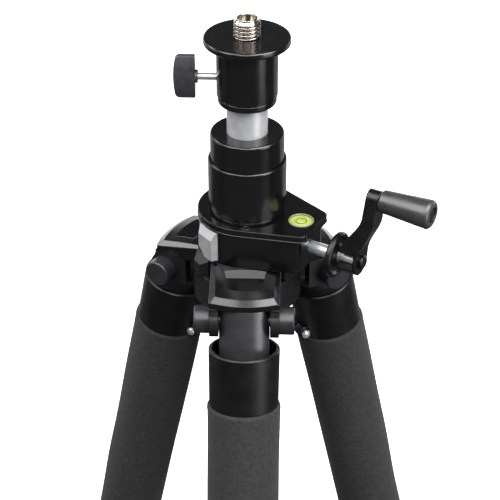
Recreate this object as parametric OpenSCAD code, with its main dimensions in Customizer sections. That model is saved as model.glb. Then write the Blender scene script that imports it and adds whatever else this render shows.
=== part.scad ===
// Elevating tripod: thread stud, geared centre column with crank, three telescopic legs.
// Millimetres, +Z up, origin on the column axis at the top face of the seat disc.

/* [Head adapter] */
// radius of the thread stud
stud_r = 7.94; // [7:0.02:8.6]
// height of the stud above the seat disc
stud_h = 13; // [10:0.5:16]
// length of the thread
stud_thread_h = 10.3; // [9:0.1:11]
// bevel at the top of the thread
stud_bevel = 1.1; // [0.8:0.1:1.6]
// radius of the plain point over the thread
stud_point_r = 5.75; // [5:0.05:6.2]
// length of the stud held inside the adapter
stud_hold = 12; // [9:0.5:14]
// radius of the seat disc
disc_r = 26; // [23:0.5:29]
// thickness of the seat disc
disc_t = 4.3; // [3.5:0.1:5.5]
// rounding of the disc rim
disc_round = 1.4; // [0.8:0.1:1.7]
// radius of the adapter body
adapter_r = 18.4; // [17.5:0.1:20]
// length of the straight adapter body
adapter_h = 32.9; // [30:0.1:36]
// height of the groove under the straight body
adapter_groove_h = 0.9; // [0.6:0.1:1.4]
// depth of the groove under the straight body
adapter_groove_w = 1.2; // [0.8:0.1:1.6]
// height of the lip at the foot of the adapter
adapter_lip_h = 4.6; // [3.5:0.1:5.5]
// inset of the lip from the straight body
adapter_lip_w = 0.6; // [0.4:0.1:0.8]
// rounding of the lip
adapter_lip_round = 1.7; // [1:0.1:2]

/* [Clamp knob] */
// depth of the clamp screw axis under the seat
clamp_drop = 26.6; // [25:0.1:28]
// radius of the clamp screw
clamp_screw_r = 2.15; // [1.8:0.05:2.6]
// distance from the column axis to the inner edge of the paddle
paddle_in = 31; // [29:0.5:34]
// depth of the paddle along the screw
paddle_depth = 13; // [11:0.5:15]
// height of the paddle
paddle_h = 27.4; // [24:0.2:30]
// thickness of the paddle
paddle_t = 8.6; // [7:0.2:10]
// radius of the boss on the inner side of the paddle
paddle_boss_r = 4; // [3.6:0.1:4.2]

/* [Column] */
// radius of the column tube
column_r = 12.5; // [12:0.1:13]
// wall of the column tube
column_wall = 1.7; // [1.5:0.1:2]
// length of the column tube
column_len = 350; // [330:5:370]
// length of the column held in the adapter
column_hold = 21.5; // [20:0.5:23]
// bare length of column between adapter and guide ring
column_show = 20.05; // [17:0.05:24]
// radius of the smooth guide ring
ring_r = 22.74; // [21:0.1:23.5]
// height of the smooth guide ring
ring_h = 17.35; // [15:0.1:20]
// rounding of the top rim of the guide ring
ring_round = 1.6; // [1:0.1:2.4]
// radius of the fluted lock collar
collar_r = 24.25; // [23.6:0.1:25.5]
// height of the fluted lock collar
collar_h = 33.3; // [30:0.1:36]
// number of flutes round the lock collar
collar_flutes = 60; // [40:2:72]
// depth of the flutes
flute_depth = 0.7; // [0.4:0.05:0.9]
// wall of the inner sleeve that guides the column
sleeve_wall = 3.9; // [3.5:0.1:4.2]

/* [Gear drive] */
// module of the rack and pinion teeth
tooth_size = 1; // [0.95:0.01:1.05]
// number of pinion teeth
pinion_teeth = 10; // [10:1:10]
// width of the rack
rack_w = 6; // [5.6:0.1:6.4]
// how far the tooth tips of the rack lie under the column surface
rack_sink = 0.3; // [0.2:0.05:0.5]
// height of the column travel downwards
column_fall = 15; // [10:1:16]
// direction of the crank, seen from above
crank_turn = -28; // [-28:1:-28]

/* [Crank] */
// radius of the crank shaft
shaft_r = 3; // [2.8:0.1:3.2]
// radius of the bright sleeve round the shaft
bush_r = 4; // [3.8:0.1:5.4]
// distance from the column axis to the outer end of the sleeve
bush_end = 65.5; // [62:0.5:66]
// radius of the tension disc
tension_r = 14.5; // [13.5:0.5:17]
// thickness of the tension disc
tension_t = 4; // [3:0.2:5]
// distance from the column axis to the inner face of the crank hub
arm_in = 68; // [67.5:0.5:71]
// thickness of the crank hub
hub_t = 12; // [11.5:0.5:13]
// radius of the crank hub
hub_r = 8.8; // [8.2:0.1:10.5]
// radius of the crank knuckle
knuckle_r = 5.7; // [5.2:0.1:7]
// thickness of the crank knuckle
knuckle_t = 8; // [7:0.5:9]
// height of the grip axis over the crank shaft
crank_rise = 40.2; // [38:0.1:46]
// sideways offset of the grip axis
crank_side = 10; // [8:0.5:12]
// outward sweep of the crank arm
crank_sweep = 10.8; // [9:0.1:13]
// length of the crank grip
grip_len = 33.4; // [30:0.2:40]
// radius of the crank grip beside the arm
grip_r = 7; // [6.4:0.1:7.6]
// radius of the crank grip at its outer end
grip_end_r = 9; // [8.4:0.1:9.6]

/* [Top plate and housing] */
// radius of the round part of the top plate
plate_r = 31; // [30:0.5:32]
// thickness of the top plate
plate_t = 4.7; // [4:0.1:5.5]
// reach of the plate nose from the column axis
nose_reach = 49; // [48:0.5:52]
// half width of the plate nose
nose_half_w = 17.5; // [15:0.5:18.5]
// corner radius of the plate nose
nose_round = 5; // [4:0.5:6]
// height of the gear housing
housing_h = 22.7; // [22:0.1:24]
// set back of the housing end wall under the plate nose
housing_back = 3; // [2.5:0.5:4]
// distance of the level from the column axis
level_reach = 38.3; // [37:0.1:38.5]
// radius of the level cup
level_cup_r = 8; // [7.4:0.1:8.4]
// radius of the level vial
level_vial_r = 6.8; // [6.2:0.1:7]
// height of the level cup
level_h = 5.2; // [4.8:0.1:5.3]
// distance of the lug face from the column axis
lug_reach = 33.6; // [33:0.1:34]
// direction of the lug, seen from above
lug_turn = -140; // [-142:1:-138]
// half width of the lug face
lug_half_w = 6.3; // [5.5:0.1:7]

/* [Shoulders] */
// half width of the shoulder caps
cap_half_w = 21.8; // [21:0.1:22.5]
// radius of the shoulder caps about the column axis
cap_reach = 59.6; // [59:0.1:60.2]
// slope of the cap top in degrees
cap_slope = 14.5; // [13:0.1:15.5]
// height of the bevel round the cap
cap_bevel_h = 2.2; // [1.8:0.1:2.6]
// width of the bevel round the cap
cap_bevel_w = 3.4; // [2.8:0.1:4]
// depth of the straight skirt under the bevel
cap_skirt_h = 3.9; // [3.5:0.1:4.4]
// half width of the recess in the cap
recess_half_w = 11.8; // [10:0.1:12]
// depth of the recess floor under the housing
recess_drop = 4.6; // [4:0.1:5.2]
// distance of the leg hinges from the column axis
hinge_reach = 50; // [49.5:0.1:50.5]
// depth of the leg hinges under the housing
hinge_drop = 25; // [24.5:0.1:26]
// height of the hub under the housing
hub_h = 35; // [32:0.5:36]
// thickness of the fork cheeks
cheek_t = 5.5; // [5:0.1:6]
// radius of the fork cheeks round the hinge
cheek_r = 10.8; // [10:0.1:11.6]
// radius of the hinge pin
pin_r = 4; // [3.5:0.1:4.5]
// radius of the hinge pin heads
pin_head_r = 8.75; // [8:0.1:9.5]
// length of the hinge pin heads
pin_head_h = 9.6; // [8:0.2:12]

/* [Legs] */
// spread of each leg from the vertical in degrees
spread = 12.85; // [12:0.05:13.5]
// half width of the leg knuckle between the cheeks
yoke_half_w = 15.7; // [15.2:0.1:16]
// radius of the rounded front of the leg knuckle
yoke_r = 18.2; // [17.5:0.1:18.6]
// radius of the leg knuckle inside the cup
yoke_low_r = 13.9; // [12.8:0.1:14.2]
// rise of the leg knuckle over the hinge
yoke_rise = 8.5; // [8:0.1:8.7]
// distance from hinge to cup rim along the leg
cup_top = 18.5; // [17.5:0.5:20]
// distance from hinge to the seat of the upper tube
tube_top = 42; // [40:0.5:44]
// distance from hinge to the lower end of the cup
cup_end = 56; // [54:0.5:58]
// outer radius of the cup
cup_r = 22.3; // [22:0.1:22.8]
// wall of the cup rim
cup_wall = 2.1; // [1.6:0.1:2.6]
// outer radius of the upper tube
upper_r = 16; // [15.8:0.1:16.4]
// outer radius of the middle tube
middle_r = 13.9; // [13.7:0.05:13.95]
// outer radius of the lower tube
lower_r = 11.5; // [11.2:0.1:11.8]
// wall of the leg tubes
tube_wall = 1.5; // [1.3:0.05:1.6]
// outer radius of the foam grip
foam_r = 23.3; // [22.6:0.1:24]
// length of the foam grip
foam_len = 240; // [200:5:300]
// distance from hinge to the lower end of the upper tube
upper_end = 500; // [480:5:510]
// distance from hinge to the lower end of the middle tube
middle_end = 555; // [550:5:570]
// distance from hinge to the lower end of the lower tube
lower_end = 598; // [595:1:610]
// length of the twist locks
lock_h = 44; // [40:1:48]
// outer radius of the upper twist lock
lock_r = 21; // [20:0.5:22]
// outer radius of the lower twist lock
lock_low_r = 18.6; // [18:0.2:20]
// outer radius of the foot
foot_r = 17; // [16:0.5:19]
// height of the foot
foot_h = 38; // [34:1:42]

/* [Hidden] */
$fn = 64;
// clearances
fit = 0.04;
run_fit = 0.06;
seat_gap = 0.1;
air_gap = 0.3;
over = 1;
tangent_lap = 0.03;
// equal thirds of a turn
turn_all = 360;
leg_turns = [-90, 30, 150];
between_turns = [-30, 90, 210];
half_turn = 180;
quarter_turn = 90;
arc_steps = 8;
// levels of the head
adapter_groove_z = -disc_t - adapter_h;
adapter_lip_z = adapter_groove_z - adapter_groove_h;
adapter_z = adapter_lip_z - adapter_lip_h;
column_top_z = adapter_z + column_hold;
column_end_z = column_top_z - column_len;
ring_top_z = adapter_z - column_show;
ring_low_z = ring_top_z - ring_h;
collar_top_z = ring_low_z - air_gap;
collar_low_z = collar_top_z - collar_h;
plate_boss_h = 1.6;
plate_top_z = collar_low_z - air_gap - plate_boss_h;
plate_low_z = plate_top_z - plate_t;
housing_low_z = plate_low_z - housing_h;
hub_low_z = housing_low_z - hub_h;
hinge_z = housing_low_z - hinge_drop;
crank_z = plate_low_z - housing_h / 2;
// adapter and clamp
disc_fillet = 1.2;
lip_bevel = 0.5;
column_bore_r = column_r + run_fit;
shank_step = 0.3;
shank_r = stud_r + shank_step;
point_bevel = 0.5;
clamp_tip = column_r + air_gap;
clamp_hold = 6;
clamp_end = paddle_in + clamp_hold;
paddle_end = paddle_in + paddle_depth;
paddle_bow_r = 60;
paddle_corner_r = 3;
paddle_boss_h = 1.6;
paddle_lens_r = 36;
paddle_bevel_len = 2.2;
paddle_bevel_w = 1.8;
// column pieces
tube_bore_r = column_r - column_wall;
plug_h = 18;
plug_lip_h = 2;
cap_plug_h = 12;
cap_lip_h = 4;
sleeve_bore_r = column_r + run_fit;
sleeve_r = column_r + sleeve_wall;
ring_lip_h = 3.2;
ring_lip_bore_r = column_r + air_gap;
sleeve_top_z = ring_top_z - ring_lip_h - seat_gap;
sleeve_low_z = hub_low_z;
collar_bevel = 1.6;
flute_land_share = 0.3;
// rack and gears
pitch_r = tooth_size * pinion_teeth / 2;
tooth_pitch = PI * tooth_size;
tip_share = 0.8;
root_share = 1.1;
rack_thick_share = 0.36;
rack_tip_share = 0.17;
pinion_thick_share = 0.36;
pinion_tip_share = 0.16;
tip_h = tip_share * tooth_size;
root_h = root_share * tooth_size;
rack_tip_x = column_r - rack_sink;
rack_pitch_x = rack_tip_x - tip_h;
rack_root_x = rack_pitch_x - root_h;
rack_base_t = 2.2;
rack_in_x = rack_root_x - rack_base_t;
rack_spare = 9;
slot_w = rack_w + 2 * fit;
gear_x = rack_pitch_x + pitch_r;
pinion_w = rack_w - 2 * air_gap;
pinion_tip_r = pitch_r + tip_h;
cross_r = 1.6;
cross_half = 12;
worm_r = 2.3;
worm_in = column_r + 2 * air_gap;
worm_out = gear_x + pinion_tip_r + over;
gear_drop = pinion_tip_r + air_gap + worm_r;
gear_z = crank_z - gear_drop;
rack_top_z = gear_z + column_fall + rack_spare;
rack_clear = 10;
rack_low_z = column_end_z + cap_plug_h + rack_clear;
rack_teeth_up = floor((rack_top_z - gear_z) / tooth_pitch);
rack_teeth_down = floor((gear_z - rack_low_z) / tooth_pitch);
window_half_w = 3.6;
window_gap = 0.6;
window_low_z = gear_z - pinion_tip_r - window_gap;
window_top_z = crank_z + worm_r + window_gap;
pocket_end = gear_x + pinion_tip_r + window_gap;
// crank
gear_half_w = 9.4;
gear_floor_h = 2.6;
end_wall_t = 6;
gear_cavity_end = nose_reach - housing_back - end_wall_t;
bush_lap = 1;
bush_in = gear_cavity_end - bush_lap;
arm_out = arm_in + hub_t;
nut_r = 4.4;
nut_h = 2.6;
nut_round = 1.4;
knuckle_in = arm_in + crank_sweep;
knuckle_out = knuckle_in + knuckle_t;
arm_start_h = 7;
hub_slot_len = 10.2;
hub_slot_low = 1.8;
hub_slot_high = 7;
arm_end_h = 30;
arm_out_start_h = nut_r + air_gap;
arm_out_end_h = 27;
arm_steps = 20;
grip_pin_r = 2.4;
grip_head_r = 4.2;
grip_head_h = 2.4;
grip_in = knuckle_out + air_gap;
grip_out = grip_in + grip_len;
grip_sink = 3.4;
grip_sink_r = 5;
grip_round = 2.6;
tension_dish = 1.6;
tension_rim = 2.4;
tension_out = bush_end + seat_gap;
// plate nose
nose_x = nose_reach - nose_round;
nose_y = nose_half_w - nose_round;
housing_nose_x = nose_x - housing_back;
housing_inset = 0.5;
level_proud = 0.7;
level_z = plate_top_z + level_proud;
level_low_z = level_z - level_h;
level_floor_h = 1.8;
vial_sink = 0.5;
lug_side = 4.6;
lug_side_right = 2.8;
lug_in = 27;
lug_top_drop = 1;
lug_low_rise = 2;
lug_bevel = 5;
lug_low_share = 0.1;
lug_taper_share = 0.55;
// shoulders
cap_h = 13;
cap_low_z = housing_low_z - cap_h;
cap_in_r = plate_r + seat_gap;
cap_top_z = housing_low_z - seat_gap;
recess_z = housing_low_z - recess_drop;
recess_draft = 3;
recess_wall_w = 3.4;
recess_in = cap_in_r + recess_wall_w;
recess_slope_w = 3;
cap_side_drop = 1;
cap_roof = 2.4;
cap_tip_w = 6;
cap_hollow_end = cap_reach - cap_tip_w;
cheek_in = yoke_half_w + air_gap;
cheek_out = cheek_in + cheek_t;
hub_grow = 3.5;
hub_r_low = plate_r + hub_grow;
bridge_t = 1.3;
bridge_short = 3;
bridge_end = hinge_reach - bridge_short;
fork_past = 7;
fork_front = hinge_reach + fork_past;
web_reach = 36;
web_half_w = 7.6;
web_low_rise = 19;
web_bevel = 4;
pin_head_bevel = 0.8;
pin_end = cheek_out + pin_head_h;
yoke_low_end = 28;
yoke_back = 11;
yoke_back_end = 14;
yoke_bevel = 1;
upper_bore_r = upper_r - tube_wall;
middle_bore_r = middle_r - tube_wall;
lower_bore_r = lower_r - tube_wall;
plug_len = 26;
plug_end = tube_top + plug_len;
plug_r = upper_bore_r - fit;
cup_draft = 0.4;
cup_step = tube_top;
cup_bore_r = upper_r + fit;
cup_rim_round = 0.8;
foam_start = cup_end + seat_gap;
foam_end = foam_start + foam_len;
foam_round = 2.5;
middle_spare = 7;
middle_top = plug_end + middle_spare;
lower_spare = 15;
lower_top = middle_top + lower_spare;
lock_split_share = 0.5;
lock_lap = lock_split_share * lock_h;
lock_bevel = 1.6;
lock_ribs = 30;
rib_depth = 0.9;
rib_land_share = 0.35;
foot_lap = 13;
foot_top_r = 13.6;
foot_round = 7;
foot_top_share = 0.55;

// smooth step from 0 to 1
function ease(t) = let (c = min(max(t, 0), 1)) c * c * (3 - 2 * c);
// turn of the outer tangent from a circle at the origin to a second circle
function tangent_turn(r_a, r_b, p) = atan2(p.y, p.x) + acos((r_a - r_b) / norm(p));
// point on a circle
function on_circle(c, r, a) = [c.x + r * cos(a), c.y + r * sin(a)];
// row of points along an arc
function arc(c, r, a_from, a_to) = [for (i = [0 : arc_steps])
    on_circle(c, r, a_from + (a_to - a_from) * i / arc_steps)];

// tube with bore, from z_low upwards
module pipe(r_out, r_in, z_low, h) {
    translate([0, 0, z_low])
    difference() {
        cylinder(r = r_out, h = h);
        translate([0, 0, -over])
        cylinder(r = r_in, h = h + 2 * over);
    }
}

// flat outline of two circles joined by their outer tangents, mirrored about x
module nose_outline(r_a, r_b, p) {
    a = tangent_turn(r_a, r_b, p);
    circle(r = r_a);
    translate(p)
    circle(r = r_b);
    translate([p.x, -p.y])
    circle(r = r_b);
    polygon([on_circle([0, 0], r_a, a), [0, 0], on_circle([0, 0], r_a, -a),
        on_circle([p.x, -p.y], r_b, -a), [p.x + r_b, -p.y], [p.x + r_b, p.y], on_circle(p, r_b, a)]);
}

// flat outline of two circles of different size joined by their outer tangents
module link_outline(r_a, r_b, p) {
    mid = atan2(p.y, p.x);
    a = acos((r_a - r_b) / norm(p));
    circle(r = r_a);
    translate(p)
    circle(r = r_b);
    in_a = r_a - tangent_lap;
    in_b = r_b - tangent_lap;
    polygon([on_circle([0, 0], in_a, mid + a), on_circle([0, 0], in_a, mid - a),
        on_circle(p, in_b, mid - a), on_circle(p, in_b, mid + a)]);
}

// round outline with straight-sided flutes
module fluted_outline(r, depth, count, land) {
    step = turn_all / count;
    polygon([for (i = [0 : count - 1], k = [0 : 3])
        let (share = [0, land, 0.5, 0.5 + land][k], rr = k < 2 ? r : r - depth)
        on_circle([0, 0], rr, (i + share) * step)]);
}

// children in leg axes: z up along the leg, x outwards, origin on the hinge
module on_leg(i) {
    rotate([0, 0, leg_turns[i]])
    translate([hinge_reach, 0, hinge_z])
    rotate([0, -spread, 0])
    children();
}

// children in crank axes: x outwards along the shaft, origin under the column axis
module on_crank() {
    rotate([0, 0, crank_turn])
    translate([0, 0, crank_z])
    children();
}

// turns a solid drawn along z so that it lies along x
module along_x() {
    rotate([0, quarter_turn, 0])
    children();
}

module thread_stud() {
    color("silver")
    rotate_extrude()
    polygon([[0, -stud_hold], [shank_r, -stud_hold], [shank_r, 0], [stud_r, 0],
        [stud_r, stud_thread_h - stud_bevel], [stud_r - stud_bevel, stud_thread_h],
        [stud_point_r, stud_thread_h],
        [stud_point_r, stud_h - point_bevel], [stud_point_r - point_bevel, stud_h], [0, stud_h]]);
}

module adapter_outline() {
    r_edge = disc_r - disc_round;
    r_groove = adapter_r - adapter_groove_w;
    r_lip = adapter_r - adapter_lip_w;
    polygon(concat([[0, 0]],
        arc([r_edge, -disc_round], disc_round, quarter_turn, 0),
        arc([r_edge, disc_round - disc_t], disc_round, 0, -quarter_turn),
        arc([adapter_r + disc_fillet, -disc_t - disc_fillet], disc_fillet, quarter_turn, half_turn),
        [[adapter_r, adapter_groove_z], [r_groove, adapter_groove_z], [r_groove, adapter_lip_z],
            [r_lip - lip_bevel, adapter_lip_z], [r_lip, adapter_lip_z - lip_bevel]],
        arc([r_lip - adapter_lip_round, adapter_z + adapter_lip_round], adapter_lip_round, 0, -quarter_turn),
        [[0, adapter_z]]));
}

module head_adapter() {
    color("dimgray")
    difference() {
        rotate_extrude()
        adapter_outline();
        translate([0, 0, -stud_hold - seat_gap])
        cylinder(r = shank_r + fit, h = stud_hold + over);
        translate([0, 0, adapter_z - over])
        cylinder(r = column_bore_r, h = column_hold + over + air_gap);
        translate([0, 0, -clamp_drop])
        rotate([0, -quarter_turn, 0])
        cylinder(r = clamp_screw_r + run_fit, h = adapter_r + over);
    }
}

module clamp_screw() {
    color("silver")
    translate([0, 0, -clamp_drop])
    rotate([0, -quarter_turn, 0])
    translate([0, 0, clamp_tip])
    cylinder(r = clamp_screw_r, h = clamp_end - clamp_tip);
}

// paddle seen from the side: straight inner edge, bowed outer edge that runs into round corners
module paddle_outline() {
    bow_x = paddle_end - paddle_bow_r;
    corner_y = paddle_h / 2 - paddle_corner_r;
    inner_r = paddle_bow_r - paddle_corner_r;
    turn = asin(corner_y / inner_r);
    corner_x = bow_x + inner_r * cos(turn);
    side_y = paddle_bow_r * sin(turn) - tangent_lap;
    intersection() {
        translate([bow_x, 0])
        circle(r = paddle_bow_r);
        union() {
            translate([paddle_in, -paddle_h / 2])
            square([corner_x - paddle_in, paddle_h]);
            translate([paddle_in, -side_y])
            square([paddle_depth, 2 * side_y]);
            for (s = [-1, 1])
                translate([corner_x, s * corner_y])
                circle(r = paddle_corner_r);
        }
    }
}

// paddle seen along the screw: thick in the middle, thin at both tips
module paddle_lens() {
    shift = paddle_lens_r - paddle_t / 2;
    intersection() {
        translate([shift, 0])
        circle(r = paddle_lens_r);
        translate([-shift, 0])
        circle(r = paddle_lens_r);
    }
}

module clamp_knob() {
    half_t = paddle_t / 2;
    edge = half_t - paddle_bevel_w;
    color("dimgray")
    translate([0, 0, -clamp_drop])
    rotate([0, 0, half_turn])
    difference() {
        union() {
            intersection() {
                rotate([quarter_turn, 0, 0])
                translate([0, 0, -half_t])
                linear_extrude(paddle_t)
                paddle_outline();
                translate([0, 0, -paddle_h / 2])
                linear_extrude(paddle_h)
                polygon([[paddle_in, -half_t], [paddle_end - paddle_bevel_len, -half_t], [paddle_end, -edge],
                    [paddle_end, edge], [paddle_end - paddle_bevel_len, half_t], [paddle_in, half_t]]);
                rotate([quarter_turn, 0, quarter_turn])
                linear_extrude(paddle_end + over)
                paddle_lens();
            }
            along_x()
            translate([0, 0, paddle_in - paddle_boss_h])
            cylinder(r = paddle_boss_r, h = paddle_boss_h + over);
        }
        along_x()
        translate([0, 0, paddle_in - paddle_boss_h - over])
        cylinder(r = clamp_screw_r + fit, h = clamp_hold + paddle_boss_h + over + seat_gap);
    }
}

module column_tube() {
    color("gainsboro")
    difference() {
        pipe(column_r, tube_bore_r, column_end_z, column_len);
        rotate([0, 0, crank_turn])
        translate([0, -slot_w / 2, rack_low_z - seat_gap])
        cube([column_r + over, slot_w, rack_top_z - rack_low_z + 2 * seat_gap]);
    }
}

module column_plug() {
    color("dimgray")
    translate([0, 0, column_top_z - plug_h])
    pipe(tube_bore_r - fit, tube_bore_r / 2, 0, plug_h);
}

// rack teeth drawn in radius and height, with a gap centred on the pinion level
module rack_outline() {
    tip_half = rack_tip_share * tooth_pitch / 2;
    foot_half = (2 * rack_thick_share - rack_tip_share) * tooth_pitch / 2;
    polygon(concat([[rack_in_x, rack_top_z], [rack_in_x, rack_low_z], [rack_root_x, rack_low_z]],
        [for (i = [-rack_teeth_down : rack_teeth_up - 1], k = [0 : 3])
            let (z = gear_z + (i + 0.5) * tooth_pitch,
                dz = [-foot_half, -tip_half, tip_half, foot_half][k],
                x = k == 1 || k == 2 ? rack_tip_x : rack_root_x)
            [x, z + dz]],
        [[rack_root_x, rack_top_z]]));
}

module column_rack() {
    color("silver")
    rotate([0, 0, crank_turn])
    rotate([quarter_turn, 0, 0])
    translate([0, 0, -rack_w / 2])
    linear_extrude(rack_w)
    rack_outline();
}

module column_cap() {
    color("dimgray")
    rotate_extrude()
    polygon([[0, column_end_z - cap_lip_h], [column_r - over, column_end_z - cap_lip_h],
        [column_r, column_end_z - cap_lip_h + over], [column_r, column_end_z],
        [tube_bore_r - fit, column_end_z],
        [tube_bore_r - fit, column_end_z + cap_plug_h], [0, column_end_z + cap_plug_h]]);
}

module guide_ring() {
    color("dimgray")
    rotate_extrude()
    polygon(concat([[sleeve_r + fit, ring_low_z], [ring_r, ring_low_z]],
        arc([ring_r - ring_round, ring_top_z - ring_round], ring_round, 0, quarter_turn),
        [[ring_lip_bore_r, ring_top_z], [ring_lip_bore_r, ring_top_z - ring_lip_h],
            [sleeve_r + fit, ring_top_z - ring_lip_h]]));
}

module lock_collar() {
    color("dimgray")
    intersection() {
        difference() {
            translate([0, 0, collar_low_z])
            linear_extrude(collar_h)
            fluted_outline(collar_r, flute_depth, collar_flutes, flute_land_share);
            translate([0, 0, collar_low_z - over])
            cylinder(r = sleeve_r + run_fit, h = collar_h + 2 * over);
        }
        rotate_extrude()
        polygon([[0, collar_low_z], [collar_r - collar_bevel, collar_low_z],
            [collar_r + over, collar_low_z + collar_bevel + over],
            [collar_r + over, collar_top_z - collar_bevel - over],
            [collar_r - collar_bevel, collar_top_z], [0, collar_top_z]]);
    }
}

// space for the pinion and the worm beside the column
module gear_window() {
    rotate([0, 0, crank_turn])
    translate([0, -window_half_w, window_low_z])
    cube([pocket_end, 2 * window_half_w, window_top_z - window_low_z]);
}

module column_sleeve() {
    color("gray")
    difference() {
        pipe(sleeve_r, sleeve_bore_r, sleeve_low_z, sleeve_top_z - sleeve_low_z);
        gear_window();
        on_crank()
        translate([gear_x, 0, -gear_drop])
        rotate([quarter_turn, 0, 0])
        translate([0, 0, -cross_half])
        cylinder(r = cross_r + air_gap, h = 2 * cross_half);
    }
}

module top_plate() {
    color("dimgray")
    difference() {
        union() {
            rotate([0, 0, crank_turn])
            translate([0, 0, plate_low_z])
            linear_extrude(plate_t)
            nose_outline(plate_r, nose_round, [nose_x, nose_y]);
            translate([0, 0, plate_low_z])
            cylinder(r = ring_r, h = plate_t + plate_boss_h);
        }
        translate([0, 0, plate_low_z - over])
        cylinder(r = sleeve_r + fit, h = plate_t + plate_boss_h + 2 * over);
        rotate([0, 0, crank_turn])
        translate([level_reach, 0, plate_low_z - over])
        cylinder(r = level_cup_r + fit, h = plate_t + 2 * over);
    }
}

module level_cup() {
    color("dimgray")
    rotate([0, 0, crank_turn])
    translate([level_reach, 0, 0])
    difference() {
        translate([0, 0, level_low_z])
        cylinder(r = level_cup_r, h = level_h);
        translate([0, 0, level_low_z + level_floor_h])
        cylinder(r = level_vial_r + fit, h = level_h);
    }
}

module level_vial() {
    color("yellowgreen")
    rotate([0, 0, crank_turn])
    translate([level_reach, 0, level_low_z + level_floor_h])
    cylinder(r = level_vial_r, h = level_h - level_floor_h - vial_sink);
}

module gear_housing() {
    color("dimgray")
    difference() {
        rotate([0, 0, crank_turn])
        translate([0, 0, housing_low_z])
        linear_extrude(housing_h)
        nose_outline(plate_r - housing_inset, nose_round - housing_inset, [housing_nose_x, nose_y]);
        translate([0, 0, housing_low_z - over])
        cylinder(r = sleeve_r + fit, h = housing_h + 2 * over);
        on_crank()
        translate([0, -gear_half_w, gear_floor_h - housing_h / 2])
        cube([gear_cavity_end, 2 * gear_half_w, housing_h]);
        gear_window();
        on_crank()
        translate([gear_x, 0, -gear_drop])
        rotate([quarter_turn, 0, 0])
        translate([0, 0, -cross_half - seat_gap])
        cylinder(r = cross_r + run_fit, h = 2 * (cross_half + seat_gap));
        on_crank()
        along_x()
        translate([0, 0, bush_in])
        cylinder(r = bush_r + fit, h = bush_end);
    }
}

// lug on the housing wall: flat face, bevelled sides and top, one side cut back towards its foot
module side_lug() {
    z_top = plate_low_z - lug_top_drop;
    z_low = housing_low_z + lug_low_rise;
    h = z_top - z_low;
    z_mid = z_low + h * lug_taper_share;
    wide = lug_half_w + lug_side;
    wide_right = lug_half_w + lug_side_right;
    color("silver")
    difference() {
        rotate([0, 0, lug_turn])
        intersection() {
            translate([0, 0, z_low])
            linear_extrude(h)
            polygon([[lug_in, -wide], [lug_reach, -lug_half_w], [lug_reach, lug_half_w],
                [lug_in, wide_right]]);
            rotate([quarter_turn, 0, quarter_turn])
            linear_extrude(lug_reach + over)
            polygon([[-lug_half_w * lug_low_share, z_low], [wide, z_low], [wide, z_top], [-wide, z_top],
                [-wide, z_mid]]);
            rotate([quarter_turn, 0, 0])
            translate([0, 0, -lug_reach])
            linear_extrude(2 * lug_reach)
            polygon([[0, z_low], [lug_reach, z_low], [lug_reach, z_top - lug_bevel],
                [plate_r - housing_inset, z_top], [0, z_top]]);
        }
        translate([0, 0, z_low - over])
        cylinder(r = plate_r - housing_inset + fit, h = h + 2 * over);
    }
}

module pinion_outline() {
    step = turn_all / pinion_teeth;
    root_r = pitch_r - root_h;
    tip_r = pitch_r + tip_h;
    root_part = pinion_thick_share * step / 2 * (2 - pinion_tip_share / pinion_thick_share);
    tip_part = pinion_tip_share * step / 2;
    polygon([for (i = [0 : pinion_teeth - 1], k = [0 : 3])
        let (mid = half_turn + i * step,
            da = [-root_part, -tip_part, tip_part, root_part][k],
            r = k == 1 || k == 2 ? tip_r : root_r)
        on_circle([0, 0], r, mid + da)]);
}

module rack_gear() {
    color("silver")
    on_crank()
    translate([gear_x, 0, -gear_drop])
    rotate([-quarter_turn, 0, 0])
    union() {
        translate([0, 0, -cross_half])
        cylinder(r = cross_r, h = 2 * cross_half);
        translate([0, 0, -pinion_w / 2])
        linear_extrude(pinion_w)
        pinion_outline();
    }
}

module crank_shaft() {
    color("silver")
    on_crank()
    along_x()
    union() {
        translate([0, 0, worm_in])
        cylinder(r = worm_r, h = worm_out - worm_in + over);
        translate([0, 0, worm_out])
        cylinder(r = shaft_r, h = arm_out - worm_out);
    }
}

module shaft_bush() {
    color("silver")
    on_crank()
    along_x()
    pipe(bush_r, shaft_r + run_fit, bush_in, bush_end - bush_in);
}

module tension_disc() {
    rim_x = tension_out - tension_t;
    color("dimgray")
    on_crank()
    along_x()
    rotate_extrude()
    polygon([[bush_r + run_fit, rim_x], [tension_r - over, rim_x], [tension_r, rim_x + over],
        [tension_r, tension_out - over], [tension_r - over, tension_out],
        [tension_r - tension_rim, tension_out],
        [tension_r - tension_rim - tension_dish, tension_out - tension_dish],
        [bush_r + 2 * tension_dish, tension_out - tension_dish],
        [bush_r + tension_dish, tension_out], [bush_r + run_fit, tension_out]]);
}

// side view of the swept arm
module arm_profile() {
    low = -hub_r - over;
    high = crank_rise + knuckle_r + over;
    polygon(concat([[arm_in, low]],
        [for (i = [0 : arm_steps])
            let (z = arm_start_h + (arm_end_h - arm_start_h) * i / arm_steps)
            [arm_in + crank_sweep * ease(i / arm_steps), z]],
        [[knuckle_in, high], [knuckle_out, high]],
        [for (i = [arm_steps : -1 : 0])
            let (z = arm_out_start_h + (arm_out_end_h - arm_out_start_h) * i / arm_steps)
            [arm_out + (knuckle_out - arm_out) * ease(i / arm_steps), z]],
        [[arm_out, low]]));
}

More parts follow.
